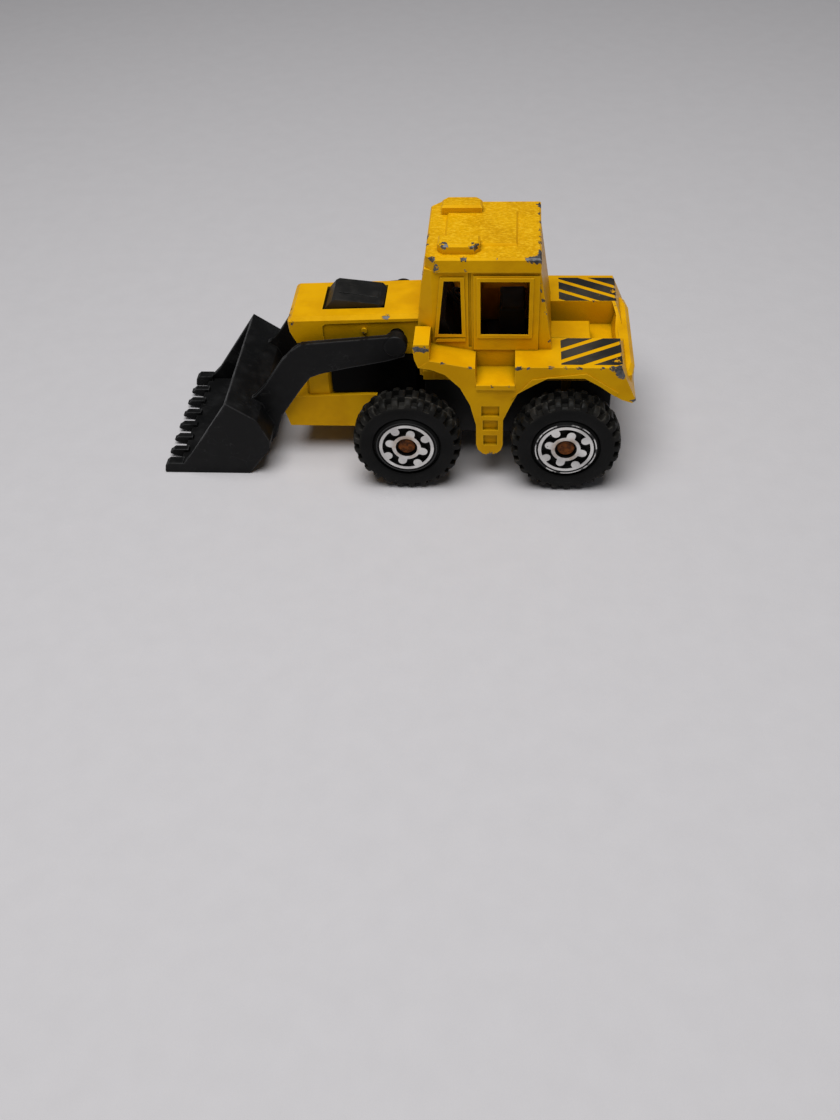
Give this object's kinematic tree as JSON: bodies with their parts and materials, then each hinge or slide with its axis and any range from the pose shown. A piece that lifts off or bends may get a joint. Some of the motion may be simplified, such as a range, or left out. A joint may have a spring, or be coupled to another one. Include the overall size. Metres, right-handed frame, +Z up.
{
  "type": "toy front loader",
  "caption": "Pocket-size die-cast wheel loader with a hollow cab, free-rolling knobbly wheels and a lifting arm-and-bucket moulding.",
  "frame": {"origin": "middle of the footprint, on the ground that the wheels and bucket stand on", "axes": "+X forward to the bucket, +Y to the loader's left side, +Z up"},
  "size_m": [0.0736, 0.0324, 0.0371],
  "materials": {
    "yellow_enamel": "semi-gloss enamel on zinc, chipped at the edges",
    "bare_zinc": "dull spun zinc",
    "black_plastic": "satin",
    "loader_plastic": "semi-gloss with scuffed edges",
    "wheel_plastic": "satin, dusty tread",
    "silver_foil": "hot-stamped foil, worn",
    "axle_steel": "rusted",
    "black_print": "printed ink, worn"
  },
  "bodies": {
    "root": {"body_shell": "yellow_enamel", "base_plate": "black_plastic", "rivet_head": "bare_zinc", "engine_insert": "black_plastic", "cab_interior": "black_plastic", "stripes_left": "black_print", "stripes_right": "black_print"},
    "axle_front": {"front_axle": "axle_steel"},
    "axle_rear": {"rear_axle": "axle_steel"},
    "loader": {"bucket": "loader_plastic", "arm_left": "loader_plastic", "arm_right": "loader_plastic"},
    "front_left_wheel": {"wheel_front_left": "wheel_plastic", "hub_foil_front_left": "silver_foil"},
    "front_right_wheel": {"wheel_front_right": "wheel_plastic", "hub_foil_front_right": "silver_foil"},
    "rear_left_wheel": {"wheel_rear_left": "wheel_plastic", "hub_foil_rear_left": "silver_foil"},
    "rear_right_wheel": {"wheel_rear_right": "wheel_plastic", "hub_foil_rear_right": "silver_foil"}
  },
  "joints": [
    {"name": "loader_lift", "type": "hinge", "parent": "root", "child": "loader", "pos_m": [-0.0011, 0, 0.02108], "axis": [0, -1, 0], "range_deg": [0, 50]},
    {"name": "front_axle_spin", "type": "hinge", "parent": "root", "child": "axle_front", "pos_m": [-0.0028, 0, 0.00825], "axis": [0, 1, 0], "continuous": true},
    {"name": "front_left_wheel_spin", "type": "hinge", "parent": "axle_front", "child": "front_left_wheel", "pos_m": [-0.0028, 0, 0.00825], "axis": [0, 1, 0], "continuous": true},
    {"name": "front_right_wheel_spin", "type": "hinge", "parent": "axle_front", "child": "front_right_wheel", "pos_m": [-0.0028, 0, 0.00825], "axis": [0, 1, 0], "continuous": true},
    {"name": "rear_axle_spin", "type": "hinge", "parent": "root", "child": "axle_rear", "pos_m": [-0.0268, 0, 0.00825], "axis": [0, 1, 0], "continuous": true},
    {"name": "rear_left_wheel_spin", "type": "hinge", "parent": "axle_rear", "child": "rear_left_wheel", "pos_m": [-0.0268, 0, 0.00825], "axis": [0, 1, 0], "continuous": true},
    {"name": "rear_right_wheel_spin", "type": "hinge", "parent": "axle_rear", "child": "rear_right_wheel", "pos_m": [-0.0268, 0, 0.00825], "axis": [0, 1, 0], "continuous": true}
  ]
}
